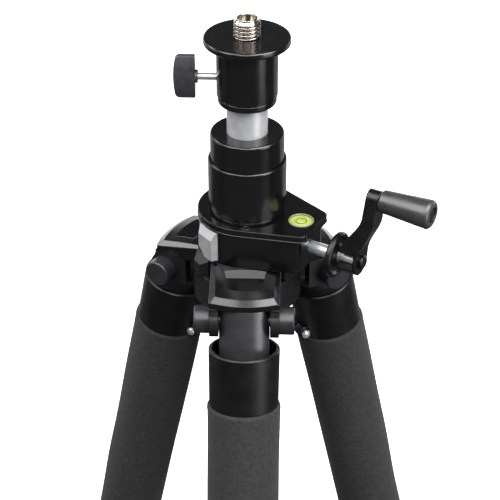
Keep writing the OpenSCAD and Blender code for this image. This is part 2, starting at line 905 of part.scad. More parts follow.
module crank_arm() {
    color("dimgray")
    on_crank()
    difference() {
        intersection() {
            rotate([quarter_turn, 0, 0])
            translate([0, 0, -crank_rise])
            linear_extrude(2 * crank_rise)
            arm_profile();
            rotate([quarter_turn, 0, quarter_turn])
            linear_extrude(knuckle_out + over)
            link_outline(hub_r, knuckle_r, [crank_side, crank_rise]);
        }
        along_x()
        translate([0, 0, arm_in - over])
        cylinder(r = shaft_r + fit, h = hub_t + 2 * over);
        // slot in front of the shaft
        translate([arm_in - over, -hub_r - over, -hub_slot_low])
        cube([hub_slot_len + over, hub_r + over, hub_slot_low + hub_slot_high]);
        translate([0, crank_side, crank_rise])
        along_x()
        translate([0, 0, knuckle_in - over])
        cylinder(r = grip_pin_r + fit, h = knuckle_t + 2 * over);
    }
}

module crank_nut() {
    color("dimgray")
    on_crank()
    along_x()
    translate([0, 0, arm_out])
    rotate_extrude()
    polygon(concat([[0, 0], [nut_r, 0]],
        arc([nut_r - nut_round, nut_h - nut_round], nut_round, 0, quarter_turn),
        [[0, nut_h]]));
}

module on_grip() {
    on_crank()
    translate([0, crank_side, crank_rise])
    along_x()
    children();
}

module grip_pin() {
    color("silver")
    on_grip()
    union() {
        translate([0, 0, knuckle_in])
        cylinder(r = grip_pin_r, h = grip_out - grip_sink + air_gap - knuckle_in + seat_gap);
        translate([0, 0, grip_out - grip_sink + air_gap])
        cylinder(r = grip_head_r, h = grip_head_h);
    }
}

module crank_grip() {
    bore_r = grip_pin_r + run_fit;
    color("dimgray")
    on_grip()
    rotate_extrude()
    polygon(concat([[bore_r, grip_in], [grip_r - over, grip_in], [grip_r, grip_in + over]],
        arc([grip_end_r - grip_round, grip_out - grip_round], grip_round, 0, quarter_turn),
        [[grip_sink_r, grip_out], [grip_sink_r, grip_out - grip_sink], [bore_r, grip_out - grip_sink]]));
}

// cheek of the fork in radius and height
module cheek_outline() {
    polygon([[hub_r_low - over, cap_low_z], [fork_front, cap_low_z], [fork_front, cap_low_z - 2 * over],
        [hinge_reach + cheek_r, hinge_z], [hinge_reach, hinge_z - cheek_r],
        [hub_r_low - over, hub_low_z + 2 * over]]);
    translate([hinge_reach, hinge_z])
    circle(r = cheek_r);
}

module fork_arm() {
    difference() {
        for (s = [-1, 1])
            translate([0, s * (cheek_in + cheek_t / 2) + cheek_t / 2, 0])
            rotate([quarter_turn, 0, 0])
            linear_extrude(cheek_t)
            cheek_outline();
        translate([hinge_reach, 0, hinge_z])
        rotate([quarter_turn, 0, 0])
        translate([0, 0, -cheek_out - over])
        cylinder(r = pin_r + fit, h = 2 * (cheek_out + over));
    }
    translate([hub_r_low - over, -cheek_in - over, cap_low_z - bridge_t])
    cube([bridge_end - hub_r_low, 2 * (cheek_in + over), bridge_t]);
}

// web between two shoulders: flat face with bevelled sides
module web() {
    z_top = housing_low_z - seat_gap;
    z_low = hub_low_z + web_low_rise;
    intersection() {
        translate([0, 0, z_low])
        linear_extrude(z_top - z_low)
        polygon([[0, -web_half_w], [web_reach - web_bevel, -web_half_w], [web_reach, web_bevel - web_half_w],
            [web_reach, web_half_w - web_bevel], [web_reach - web_bevel, web_half_w], [0, web_half_w]]);
        rotate([quarter_turn, 0, 0])
        translate([0, 0, -web_reach])
        linear_extrude(2 * web_reach)
        polygon([[0, z_low], [hub_r_low, z_low], [web_reach, z_low + web_bevel],
            [web_reach, z_top - web_bevel],
            [plate_r, z_top], [0, z_top]]);
    }
}

module spider() {
    color("dimgray")
    difference() {
        union() {
            translate([0, 0, hub_low_z])
            cylinder(r = hub_r_low, h = cap_low_z - seat_gap - hub_low_z);
            translate([0, 0, cap_low_z - over])
            cylinder(r = plate_r, h = housing_low_z - cap_low_z + over);
            for (t = leg_turns)
                rotate([0, 0, t])
                fork_arm();
            for (t = between_turns)
                rotate([0, 0, t])
                web();
        }
        translate([0, 0, hub_low_z - over])
        cylinder(r = sleeve_r + fit, h = hub_h + 2 * over);
        gear_window();
    }
}

// block with bevelled long edges, drawn along the slope of the cap
module cap_block() {
    flat_half = cap_half_w - cap_bevel_w;
    translate([plate_r, 0, cap_top_z])
    rotate([0, cap_slope, 0])
    rotate([quarter_turn, 0, quarter_turn])
    translate([0, 0, -plate_r])
    linear_extrude(2 * cap_reach)
    polygon([[-cap_half_w, -cap_reach], [cap_half_w, -cap_reach], [cap_half_w, -cap_bevel_h - cap_side_drop],
        [flat_half - cap_bevel_w, cap_bevel_h - cap_side_drop],
        [cap_bevel_w - flat_half, cap_bevel_h - cap_side_drop],
        [-cap_half_w, -cap_bevel_h - cap_side_drop]]);
}

// half section of the caps round the column: conical top, bevel, straight skirt
module cap_outline() {
    edge_z = cap_low_z + cap_skirt_h;
    fall = tan(cap_slope);
    climb = cap_bevel_h / cap_bevel_w;
    reach_z = cap_top_z - (cap_reach - plate_r) * fall;
    width = (reach_z - edge_z) / (climb - fall);
    polygon([[cap_in_r, cap_low_z], [cap_reach, cap_low_z], [cap_reach, edge_z],
        [cap_reach - width, edge_z + climb * width], [cap_in_r, cap_top_z - (cap_in_r - plate_r) * fall]]);
}

module shoulder_cap(i) {
    hollow_z = recess_z - cap_roof;
    color("dimgray")
    rotate([0, 0, leg_turns[i]])
    difference() {
        intersection() {
            cap_block();
            rotate_extrude()
            cap_outline();
            translate([0, -cap_half_w, cap_low_z])
            cube([cap_reach, 2 * cap_half_w, cap_reach]);
        }
        // recess with level floor and drafted walls
        intersection() {
            rotate([quarter_turn, 0, quarter_turn])
            linear_extrude(cap_reach)
            polygon([[-recess_half_w, recess_z], [recess_half_w, recess_z],
                [recess_half_w + recess_draft, recess_z + 2 * recess_drop],
                [-recess_half_w - recess_draft, recess_z + 2 * recess_drop]]);
            rotate([quarter_turn, 0, 0])
            translate([0, 0, -cap_half_w])
            linear_extrude(2 * cap_half_w)
            polygon([[recess_in, recess_z], [cap_reach, recess_z], [cap_reach, recess_z + 2 * recess_drop],
                [recess_in - 2 * recess_slope_w, recess_z + 2 * recess_drop]]);
        }
        // hollow under the roof
        translate([0, -cheek_in, cap_low_z - over])
        cube([cap_hollow_end, 2 * cheek_in, hollow_z - cap_low_z + over]);
    }
}

module cap_front() {
    shoulder_cap(0);
}

module cap_right() {
    shoulder_cap(1);
}

module cap_left() {
    shoulder_cap(2);
}

module hinge_pin(i) {
    color("dimgray")
    rotate([0, 0, leg_turns[i]])
    translate([hinge_reach, 0, hinge_z])
    rotate([quarter_turn, 0, 0])
    rotate_extrude()
    polygon([[0, -pin_end], [pin_head_r - pin_head_bevel, -pin_end], [pin_head_r, -pin_end + pin_head_bevel],
        [pin_head_r, -cheek_out], [pin_r, -cheek_out], [pin_r, cheek_out], [pin_head_r, cheek_out],
        [pin_head_r, pin_end - pin_head_bevel], [pin_head_r - pin_head_bevel, pin_end], [0, pin_end]]);
}

module hinge_pin_front() {
    hinge_pin(0);
}

module hinge_pin_right() {
    hinge_pin(1);
}

module hinge_pin_left() {
    hinge_pin(2);
}

// flat-sided block with a rounded front that narrows down into the cup
module yoke_block() {
    difference() {
        intersection() {
            rotate_extrude()
            polygon([[0, yoke_rise], [yoke_r - yoke_bevel, yoke_rise], [yoke_r, yoke_rise - yoke_bevel],
                [yoke_low_r, -yoke_low_end], [yoke_low_r, -tube_top], [0, -tube_top]]);
            rotate([quarter_turn, 0, quarter_turn])
            translate([0, 0, -yoke_r])
            linear_extrude(2 * yoke_r)
            polygon([[yoke_half_w, yoke_rise], [yoke_low_r, -yoke_low_end], [yoke_low_r, -tube_top],
                [-yoke_low_r, -tube_top], [-yoke_low_r, -yoke_low_end], [-yoke_half_w, yoke_rise]]);
        }
        translate([-yoke_back - yoke_r, -yoke_r, -yoke_back_end])
        cube([yoke_r, 2 * yoke_r, yoke_back_end + yoke_rise + over]);
    }
}

module leg_yoke(i) {
    color("gray")
    on_leg(i)
    difference() {
        union() {
            yoke_block();
            rotate_extrude()
            polygon([[0, -tube_top + 2 * over], [upper_r, -tube_top + 2 * over], [upper_r, -tube_top],
                [plug_r, -tube_top], [plug_r, -plug_end], [0, -plug_end]]);
        }
        rotate([quarter_turn, 0, 0])
        translate([0, 0, -yoke_r - over])
        cylinder(r = pin_r + run_fit, h = 2 * (yoke_r + over));
        translate([0, 0, -plug_end - over])
        cylinder(r = plug_r - tube_wall, h = plug_end - tube_top + over);
    }
}

module leg_yoke_front() {
    leg_yoke(0);
}

module leg_yoke_right() {
    leg_yoke(1);
}

module leg_yoke_left() {
    leg_yoke(2);
}

module leg_cup(i) {
    in_r = cup_r - cup_wall;
    color("dimgray")
    on_leg(i)
    rotate_extrude()
    polygon([[in_r, -cup_top], [cup_r - cup_rim_round, -cup_top], [cup_r, -cup_top - cup_rim_round],
        [cup_r - cup_draft, -cup_end], [cup_bore_r, -cup_end], [cup_bore_r, -cup_step], [in_r, -cup_step]]);
}

module leg_cup_front() {
    leg_cup(0);
}

module leg_cup_right() {
    leg_cup(1);
}

module leg_cup_left() {
    leg_cup(2);
}

module upper_tube(i) {
    color("dimgray")
    on_leg(i)
    pipe(upper_r, upper_bore_r, -upper_end, upper_end - tube_top - seat_gap);
}

module upper_tube_front() {
    upper_tube(0);
}

module upper_tube_right() {
    upper_tube(1);
}

module upper_tube_left() {
    upper_tube(2);
}

module foam_grip(i) {
    r_edge = foam_r - foam_round;
    color("dimgray")
    on_leg(i)
    rotate_extrude()
    polygon(concat([[upper_r + fit, -foam_end]],
        arc([r_edge, foam_round - foam_end], foam_round, -quarter_turn, 0),
        arc([r_edge, -foam_start - foam_round], foam_round, 0, quarter_turn),
        [[upper_r + fit, -foam_start]]));
}

module foam_grip_front() {
    foam_grip(0);
}

module foam_grip_right() {
    foam_grip(1);
}

module foam_grip_left() {
    foam_grip(2);
}

// ribbed twist lock over the end of one tube, closed round the next one
module twist_lock(r, tube_end, r_wide, r_narrow) {
    z_low = -tube_end - lock_lap;
    color("dimgray")
    intersection() {
        difference() {
            translate([0, 0, z_low])
            linear_extrude(lock_h)
            fluted_outline(r, rib_depth, lock_ribs, rib_land_share);
            translate([0, 0, -tube_end - air_gap])
            cylinder(r = r_wide + run_fit, h = lock_h);
            translate([0, 0, z_low - over])
            cylinder(r = r_narrow + run_fit, h = lock_h + over);
        }
        rotate_extrude()
        polygon([[0, z_low], [r - lock_bevel, z_low], [r + over, z_low + lock_bevel + over],
            [r + over, z_low + lock_h - lock_bevel - over], [r - lock_bevel, z_low + lock_h],
            [0, z_low + lock_h]]);
    }
}

module upper_lock(i) {
    on_leg(i)
    twist_lock(lock_r, upper_end, upper_r, middle_r);
}

module upper_lock_front() {
    upper_lock(0);
}

module upper_lock_right() {
    upper_lock(1);
}

module upper_lock_left() {
    upper_lock(2);
}

module middle_tube(i) {
    color("silver")
    on_leg(i)
    pipe(middle_r, middle_bore_r, -middle_end, middle_end - middle_top);
}

module middle_tube_front() {
    middle_tube(0);
}

module middle_tube_right() {
    middle_tube(1);
}

module middle_tube_left() {
    middle_tube(2);
}

module lower_lock(i) {
    on_leg(i)
    twist_lock(lock_low_r, middle_end, middle_r, lower_r);
}

module lower_lock_front() {
    lower_lock(0);
}

module lower_lock_right() {
    lower_lock(1);
}

module lower_lock_left() {
    lower_lock(2);
}

module lower_tube(i) {
    color("silver")
    on_leg(i)
    pipe(lower_r, lower_bore_r, -lower_end, lower_end - lower_top);
}

module lower_tube_front() {
    lower_tube(0);
}

module lower_tube_right() {
    lower_tube(1);
}

module lower_tube_left() {
    lower_tube(2);
}

// rubber boot round the tube end with a rounded sole
module foot(i) {
    z_top = -lower_end + foot_lap;
    z_low = z_top - foot_h;
    z_wide = z_top - foot_h * foot_top_share;
    color("dimgray")
    on_leg(i)
    rotate_extrude()
    polygon(concat([[0, z_low]],
        arc([foot_r - foot_round, z_low + foot_round], foot_round, -quarter_turn, 0),
        [[foot_r, z_wide], [foot_top_r, z_top], [lower_r + fit, z_top],
            [lower_r + fit, -lower_end - seat_gap], [0, -lower_end - seat_gap]]));
}

module foot_front() {
    foot(0);
}

module foot_right() {
    foot(1);
}

module foot_left() {
    foot(2);
}

thread_stud();
head_adapter();
clamp_screw();
clamp_knob();
column_tube();
column_plug();
column_rack();
column_cap();
guide_ring();
lock_collar();
column_sleeve();
top_plate();
level_cup();
level_vial();
gear_housing();
side_lug();
rack_gear();
crank_shaft();
shaft_bush();
tension_disc();
crank_arm();
crank_nut();
grip_pin();
crank_grip();
spider();
cap_front();
cap_right();
cap_left();
hinge_pin_front();
hinge_pin_right();
hinge_pin_left();
leg_yoke_front();
leg_yoke_right();
leg_yoke_left();
leg_cup_front();
leg_cup_right();
leg_cup_left();
upper_tube_front();
upper_tube_right();
upper_tube_left();
foam_grip_front();
foam_grip_right();
foam_grip_left();
upper_lock_front();
upper_lock_right();
upper_lock_left();
middle_tube_front();
middle_tube_right();
middle_tube_left();
lower_lock_front();
lower_lock_right();
lower_lock_left();
lower_tube_front();
lower_tube_right();
lower_tube_left();
foot_front();
foot_right();
foot_left();
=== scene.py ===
import math
import bpy
import numpy as np
from mathutils import Matrix, Vector
from mathutils.geometry import convex_hull_2d


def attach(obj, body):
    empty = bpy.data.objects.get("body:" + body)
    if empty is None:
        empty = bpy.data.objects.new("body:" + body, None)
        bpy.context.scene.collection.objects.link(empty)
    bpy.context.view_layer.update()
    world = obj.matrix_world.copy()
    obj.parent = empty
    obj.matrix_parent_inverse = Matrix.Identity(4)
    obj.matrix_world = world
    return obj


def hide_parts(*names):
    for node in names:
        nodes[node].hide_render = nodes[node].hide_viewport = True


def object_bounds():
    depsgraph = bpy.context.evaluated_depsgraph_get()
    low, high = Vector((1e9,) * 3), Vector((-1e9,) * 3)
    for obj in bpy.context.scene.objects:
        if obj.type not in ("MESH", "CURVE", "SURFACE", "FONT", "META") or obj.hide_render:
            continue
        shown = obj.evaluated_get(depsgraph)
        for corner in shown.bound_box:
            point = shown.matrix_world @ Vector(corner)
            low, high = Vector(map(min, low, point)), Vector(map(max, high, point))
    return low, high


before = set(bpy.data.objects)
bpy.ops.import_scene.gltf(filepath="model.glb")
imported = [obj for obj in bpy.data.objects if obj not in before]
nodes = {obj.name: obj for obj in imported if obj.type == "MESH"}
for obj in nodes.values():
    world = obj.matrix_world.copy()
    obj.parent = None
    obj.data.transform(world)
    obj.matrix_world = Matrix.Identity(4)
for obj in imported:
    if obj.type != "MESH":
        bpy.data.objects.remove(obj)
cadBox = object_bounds()
mm = 0.001
legNames = ("front", "right", "left")
legTurns = {"front": -90.0, "right": 30.0, "left": 150.0}
print("frame loaded:", len(nodes), "nodes")


# sRGB hex to linear red, green, blue and alpha
def linear(hexCode):
    parts = np.array([int(hexCode[i:i + 2], 16) for i in (1, 3, 5)]) / 255.0
    low, high = parts / 12.92, ((parts + 0.055) / 1.055) ** 2.4
    return (*np.where(parts <= 0.04045, low, high).tolist(), 1.0)


# texture scale for a pattern whose features are this many millimetres apart
def perMm(size):
    return 1.0 / (size * mm)


# adds one node, sets its settings or input values, and links its inputs
def addNode(tree, kind, links=None, **settings):
    node = tree.nodes.new(kind)
    for key, value in settings.items():
        if key in node.inputs:
            node.inputs[key].default_value = value
        else:
            setattr(node, key, value)
    for key, socket in (links or {}).items():
        tree.links.new(node.inputs[key], socket)
    return node


# empty material with its shader, output and Object coordinates ready
def startFinish(name):
    finish = bpy.data.materials.new(name)
    finish.use_nodes = True
    tree = finish.node_tree
    tree.nodes.clear()
    shader = addNode(tree, "ShaderNodeBsdfPrincipled")
    addNode(tree, "ShaderNodeOutputMaterial", {"Surface": shader.outputs["BSDF"]})
    coords = addNode(tree, "ShaderNodeTexCoord").outputs["Object"]
    return finish, tree, shader, coords


# middle part of a noise's range, over which tones and roughness change
toneSpan = (0.32, 0.68)
driftSpan = (0.3, 0.7)


# colour of a finish: two close tones mixed by a slow noise, so no face is one flat colour
def twoTones(tree, shader, coords, dark, light, patch, detail=3.0):
    noise = addNode(tree, "ShaderNodeTexNoise", {"Vector": coords}, Scale=perMm(patch), Detail=detail)
    ramp = addNode(tree, "ShaderNodeValToRGB", {"Fac": noise.outputs["Fac"]})
    for element, position, tone in zip(ramp.color_ramp.elements, toneSpan, (dark, light)):
        element.position, element.color = position, linear(tone)
    tree.links.new(shader.inputs["Base Color"], ramp.outputs["Color"])
    return noise


# roughness that drifts between two values with a noise
def driftRoughness(tree, shader, socket, low, high):
    span = addNode(tree, "ShaderNodeMapRange", {"Value": socket})
    span.inputs["From Min"].default_value, span.inputs["From Max"].default_value = driftSpan
    span.inputs["To Min"].default_value, span.inputs["To Max"].default_value = low, high
    tree.links.new(shader.inputs["Roughness"], span.outputs["Result"])


bevelSamples = 6


# edge radius in millimetres, then a height pattern of some depth in millimetres on top
def edgesAndGrain(tree, shader, edge, height, depth, strength):
    rounded = addNode(tree, "ShaderNodeBevel", samples=bevelSamples, Radius=edge * mm)
    bump = addNode(tree, "ShaderNodeBump", {"Height": height, "Normal": rounded.outputs["Normal"]},
                   Strength=strength, Distance=depth * mm)
    tree.links.new(shader.inputs["Normal"], bump.outputs["Normal"])


# the phase of a wave texture runs this many radians in a unit, so the scale of its lines is divided by it
waveRadians = 20.0

glossBlackValues = {"dark": "#070708", "light": "#0b0b0c", "patch": 9.0, "low": 0.16, "high": 0.22,
                    "edge": 0.35, "lines": 0.35, "bend": 0.6, "detail": 1.0, "depth": 0.0006,
                    "strength": 0.5, "ior": 1.58}


# black anodised aluminium, turned: deep black that mirrors its neighbours, with faint tool rings
def anodisedTurned(name, values):
    finish, tree, shader, coords = startFinish(name)
    noise = twoTones(tree, shader, coords, values["dark"], values["light"], values["patch"])
    driftRoughness(tree, shader, noise.outputs["Fac"], values["low"], values["high"])
    rings = addNode(tree, "ShaderNodeTexWave", {"Vector": coords}, bands_direction="Z",
                    Scale=perMm(values["lines"]) / waveRadians, Distortion=values["bend"],
                    Detail=values["detail"])
    edgesAndGrain(tree, shader, values["edge"], rings.outputs["Fac"], values["depth"], values["strength"])
    shader.inputs["IOR"].default_value = values["ior"]
    return finish


castBlackValues = {"dark": "#060607", "light": "#09090a", "patch": 7.0, "low": 0.17, "high": 0.23,
                   "edge": 0.8, "peel": 0.9, "detail": 2.0, "depth": 0.003, "strength": 0.6, "ior": 1.58}


# die-cast aluminium under semi-gloss black paint: soft highlights with a slight orange peel
def castPainted(name, values):
    finish, tree, shader, coords = startFinish(name)
    noise = twoTones(tree, shader, coords, values["dark"], values["light"], values["patch"])
    driftRoughness(tree, shader, noise.outputs["Fac"], values["low"], values["high"])
    peel = addNode(tree, "ShaderNodeTexNoise", {"Vector": coords}, Scale=perMm(values["peel"]),
                   Detail=values["detail"])
    edgesAndGrain(tree, shader, values["edge"], peel.outputs["Fac"], values["depth"], values["strength"])
    shader.inputs["IOR"].default_value = values["ior"]
    return finish


mouldedValues = {"dark": "#161617", "light": "#1f1f20", "patch": 5.0, "low": 0.38, "high": 0.5,
                 "edge": 0.4, "grain": 0.45, "depth": 0.03, "strength": 0.5, "ior": 1.52}


# moulded ABS with a spark-eroded texture: matt black that greys where light rakes over it
def mouldedAbs(name, values):
    finish, tree, shader, coords = startFinish(name)
    noise = twoTones(tree, shader, coords, values["dark"], values["light"], values["patch"])
    driftRoughness(tree, shader, noise.outputs["Fac"], values["low"], values["high"])
    grain = addNode(tree, "ShaderNodeTexVoronoi", {"Vector": coords}, Scale=perMm(values["grain"]))
    edgesAndGrain(tree, shader, values["edge"], grain.outputs["Distance"], values["depth"],
                  values["strength"])
    shader.inputs["IOR"].default_value = values["ior"]
    return finish


metalShared = {"patch": 6.0, "bend": 2.0, "detail": 2.0, "strength": 0.5}
metalValues = {
    "column": {"dark": "#c2c3c5", "light": "#cecfd1", "low": 0.36, "high": 0.44, "edge": 0.3, "lines": 0.5,
               "depth": 0.001, "along": "Z", "metal": 0.55},
    "steel": {"dark": "#c6c9cf", "light": "#dfe1e4", "low": 0.28, "high": 0.38, "edge": 0.3, "lines": 0.3,
              "depth": 0.002, "along": "Z", "metal": 0.75},
    "nickel": {"dark": "#b3aca3", "light": "#c2bbb2", "low": 0.17, "high": 0.22, "edge": 0.15, "lines": 0.4,
               "depth": 0.0003, "along": "Z", "metal": 1.0},
    "legTube": {"dark": "#a6a7aa", "light": "#bbbcbf", "low": 0.32, "high": 0.42, "edge": 0.3, "lines": 0.6,
                "depth": 0.002, "along": "Z", "metal": 0.7},
    "lug": {"dark": "#a0a0a3", "light": "#acacaf", "low": 0.36, "high": 0.46, "edge": 0.5, "lines": 0.8,
            "depth": 0.004, "along": "X", "metal": 0.4},
    "yoke": {"dark": "#5b5b5f", "light": "#626266", "low": 0.36, "high": 0.40, "edge": 0.3, "lines": 0.4,
             "depth": 0.00005, "along": "Z", "metal": 0.85},
}


# bare, drawn or plated metal: tinted mirror broken up by faint drawing lines a few millimetres apart
def drawnMetal(name, values):
    finish, tree, shader, coords = startFinish(name)
    noise = twoTones(tree, shader, coords, values["dark"], values["light"], metalShared["patch"])
    driftRoughness(tree, shader, noise.outputs["Fac"], values["low"], values["high"])
    lines = addNode(tree, "ShaderNodeTexWave", {"Vector": coords}, bands_direction=values["along"],
                    Scale=perMm(values["lines"]) / waveRadians, Distortion=metalShared["bend"],
                    Detail=metalShared["detail"])
    edgesAndGrain(tree, shader, values["edge"], lines.outputs["Fac"], values["depth"],
                  metalShared["strength"])
    shader.inputs["Metallic"].default_value = values["metal"]
    return finish


foamValues = {"dark": "#262627", "light": "#313132", "cell": 0.55, "clump": 2.6, "depth": 0.09,
              "toneDetail": 6.0, "clumpDetail": 5.0, "strength": 0.8, "rough": 0.92, "specular": 0.25,
              "sheen": 0.06, "sheenRough": 0.5}


# nitrile foam with a skin of open cells: no mirror at all, fine dark pores, a pale bloom at grazing light
def foamCells(name, values):
    finish, tree, shader, coords = startFinish(name)
    twoTones(tree, shader, coords, values["dark"], values["light"], values["clump"], values["toneDetail"])
    cells = addNode(tree, "ShaderNodeTexVoronoi", {"Vector": coords}, Scale=perMm(values["cell"]))
    clumps = addNode(tree, "ShaderNodeTexNoise", {"Vector": coords}, Scale=perMm(values["clump"]),
                     Detail=values["clumpDetail"])
    height = addNode(tree, "ShaderNodeMath", {0: cells.outputs["Distance"], 1: clumps.outputs["Fac"]},
                     operation="ADD")
    bump = addNode(tree, "ShaderNodeBump", {"Height": height.outputs["Value"]},
                   Strength=values["strength"], Distance=values["depth"] * mm)
    tree.links.new(shader.inputs["Normal"], bump.outputs["Normal"])
    shader.inputs["Roughness"].default_value = values["rough"]
    shader.inputs["Specular IOR Level"].default_value = values["specular"]
    shader.inputs["Sheen Weight"].default_value = values["sheen"]
    shader.inputs["Sheen Roughness"].default_value = values["sheenRough"]
    return finish


rubberValues = {"dark": "#141414", "light": "#1d1d1d", "patch": 3.0, "toneDetail": 5.0, "low": 0.62,
                "high": 0.8, "edge": 0.4, "grain": 0.35, "detail": 2.0, "depth": 0.03, "strength": 0.5}


# moulded rubber: matt, slightly dusty black
def mouldedRubber(name, values):
    finish, tree, shader, coords = startFinish(name)
    noise = twoTones(tree, shader, coords, values["dark"], values["light"], values["patch"],
                     values["toneDetail"])
    driftRoughness(tree, shader, noise.outputs["Fac"], values["low"], values["high"])
    grain = addNode(tree, "ShaderNodeTexNoise", {"Vector": coords}, Scale=perMm(values["grain"]),
                    Detail=values["detail"])
    edgesAndGrain(tree, shader, values["edge"], grain.outputs["Fac"], values["depth"], values["strength"])
    return finish


# glow is the colour and the strength is the strength of a painted glow: an emission that makes the liquid
# shine by itself
vialValues = {"dark": "#8b9544", "light": "#a0aa5a", "glow": "#d2dc6a", "paintedGlowStrength": 0.10, "patch": 4.0,
              "rough": 0.06, "coat": 0.6, "coatRough": 0.03}


# dyed liquid under clear acrylic: fluorescent yellow-green in colour, glossy like a lens; its weak emission
# is a painted glow, not light from any lamp
def dyedVial(name, values):
    finish, tree, shader, coords = startFinish(name)
    twoTones(tree, shader, coords, values["dark"], values["light"], values["patch"])
    shader.inputs["Roughness"].default_value = values["rough"]
    # painted glow: the vial emits a little light of its own though it is no lamp
    shader.inputs["Emission Color"].default_value = linear(values["glow"])
    shader.inputs["Emission Strength"].default_value = values["paintedGlowStrength"]
    shader.inputs["Coat Weight"].default_value = values["coat"]
    shader.inputs["Coat Roughness"].default_value = values["coatRough"]
    return finish


finishes = {
    "gloss": anodisedTurned("black_anodised_aluminium_turned", glossBlackValues),
    "satin": anodisedTurned("black_anodised_aluminium_satin",
                            {**glossBlackValues, "low": 0.34, "high": 0.42, "ior": 1.42}),
    "cast": castPainted("black_painted_die_cast", castBlackValues),
    "web": castPainted("black_painted_spider_casting",
                       {**castBlackValues, "dark": "#0d0d0e", "light": "#121213", "low": 0.42, "high": 0.5,
                        "ior": 1.45}),
    "boss": castPainted("grey_black_hinge_boss",
                        {**castBlackValues, "dark": "#1d1d1f", "light": "#252528", "low": 0.32,
                         "high": 0.4}),
    "crank": castPainted("black_painted_crank_casting",
                         {**castBlackValues, "low": 0.28, "high": 0.38, "ior": 1.45}),
    "abs": mouldedAbs("black_abs_moulded", mouldedValues),
    "grip": mouldedAbs("grey_black_abs_grip",
                       {**mouldedValues, "dark": "#272728", "light": "#313132", "low": 0.32, "high": 0.42,
                        "ior": 1.75}),
    "knob": mouldedAbs("grey_abs_knob",
                       {**mouldedValues, "dark": "#29292d", "light": "#333338", "low": 0.34, "high": 0.44,
                        "ior": 1.65}),
    "column": drawnMetal("satin_anodised_column_drawn", metalValues["column"]),
    "steel": drawnMetal("zinc_plated_steel_turned", metalValues["steel"]),
    "nickel": drawnMetal("nickel_plated_steel_rolled", metalValues["nickel"]),
    "legTube": drawnMetal("satin_anodised_leg_drawn", metalValues["legTube"]),
    "lug": drawnMetal("bare_zinc_casting_tumbled", metalValues["lug"]),
    "yoke": drawnMetal("gunmetal_grey_casting", metalValues["yoke"]),
    "foam": foamCells("nitrile_foam_skinned", foamValues),
    "rubber": mouldedRubber("black_rubber_moulded", rubberValues),
    "vial": dyedVial("dyed_vial_liquid", vialValues),
    # the acrylic rim keeps a faint painted glow from the same weak emission
    "acrylic": dyedVial("clear_acrylic_moulded",
                        {**vialValues, "dark": "#6d7358", "light": "#7d8368", "paintedGlowStrength": 0.02}),
}
print("finishes made:", len(finishes))

nodeFinish = {
    "gloss": ["head_adapter", "guide_ring", "lock_collar"],
    "satin": ["leg_cup"],
    "cast": ["top_plate", "gear_housing", "cap"],
    "web": ["spider"],
    "boss": ["hinge_pin"],
    "crank": ["crank_arm", "tension_disc", "crank_nut", "grip_pin"],
    "abs": ["level_cup", "column_cap", "column_plug", "column_sleeve"],
    "grip": ["crank_grip"],
    "knob": ["clamp_knob"],
    "column": ["column_tube", "crank_shaft"],
    "steel": ["clamp_screw", "shaft_bush", "column_rack", "rack_gear"],
    "nickel": ["thread_stud"],
    "legTube": ["upper_tube", "middle_tube", "lower_tube"],
    "lug": ["side_lug"],
    "yoke": ["leg_yoke"],
    "foam": ["foam_grip"],
    "rubber": ["upper_lock", "lower_lock", "foot"],
    "vial": ["level_vial"],
}
finishOf = {stem: key for key, stems in nodeFinish.items() for stem in stems}
for nodeName, nodeObject in nodes.items():
    stem = nodeName
    for legName in legNames:
        stem = stem.removesuffix("_" + legName)
    nodeObject.data.materials.clear()
    nodeObject.data.materials.append(finishes[finishOf[stem]])
print("nodes dressed")


legSeat = {"reach": 50.0, "height": -168.0, "lean": -12.85}


# place of a leg: origin on its hinge, x outwards, z up along the leg
def legPlace(legName):
    hinge = Matrix.Translation((legSeat["reach"] * mm, 0, legSeat["height"] * mm))
    return np.array(Matrix.Rotation(math.radians(legTurns[legName]), 4, "Z") @ hinge
                    @ Matrix.Rotation(math.radians(legSeat["lean"]), 4, "Y"))


# grid of points (rows, columns, 3) in millimetres to a closed mesh: columns wrap round, rows wrap too or
# end in pole points; the sign of the volume turns the faces outwards; edges over sharp degrees stay hard
def surfacePiece(name, grid, place, finish, body, poles=None, sharp=35.0):
    rows, columns = grid.shape[:2]
    index = np.arange(rows * columns).reshape(rows, columns)
    side = np.roll(index, -1, axis=1)
    above, aboveSide = np.roll(index, -1, axis=0), np.roll(side, -1, axis=0)
    quads = np.stack([index, side, aboveSide, above], axis=-1)
    points = grid.reshape(-1, 3)
    fans = np.zeros((0, 3), int)
    if poles is not None:
        quads = quads[:-1]
        first, last = rows * columns, rows * columns + 1
        points = np.vstack([points, poles])
        fans = np.vstack([np.stack([side[0], index[0], np.full(columns, first)], axis=-1),
                          np.stack([index[-1], side[-1], np.full(columns, last)], axis=-1)])
    quads = quads.reshape(-1, 4)
    tris = np.vstack([quads[:, [0, 1, 2]], quads[:, [0, 2, 3]], fans])
    corners = points[tris]
    volume = np.einsum("ij,ij->i", corners[:, 0], np.cross(corners[:, 1], corners[:, 2])).sum()
    if volume < 0:
        quads, fans = quads[:, ::-1], fans[:, ::-1]
    placed = points * mm @ place[:3, :3].T + place[:3, 3]
    mesh = bpy.data.meshes.new(name)
    mesh.from_pydata(placed.tolist(), [], quads.tolist() + fans.tolist())
    mesh.polygons.foreach_set("use_smooth", np.ones(len(mesh.polygons), bool))
    mesh.set_sharp_from_angle(angle=math.radians(sharp))
    mesh.materials.append(finish)
    piece = bpy.data.objects.new(name, mesh)
    bpy.context.scene.collection.objects.link(piece)
    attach(piece, body)
    return piece


# angles once round, as many as there are columns
def roundAngles(columns):
    return np.arange(columns) * 2 * np.pi / columns


# a radius grid and a height grid, both (rows, columns), carried round the z axis
def carriedRound(radius, height, angles):
    return np.stack([radius * np.cos(angles), radius * np.sin(angles), height], axis=-1)


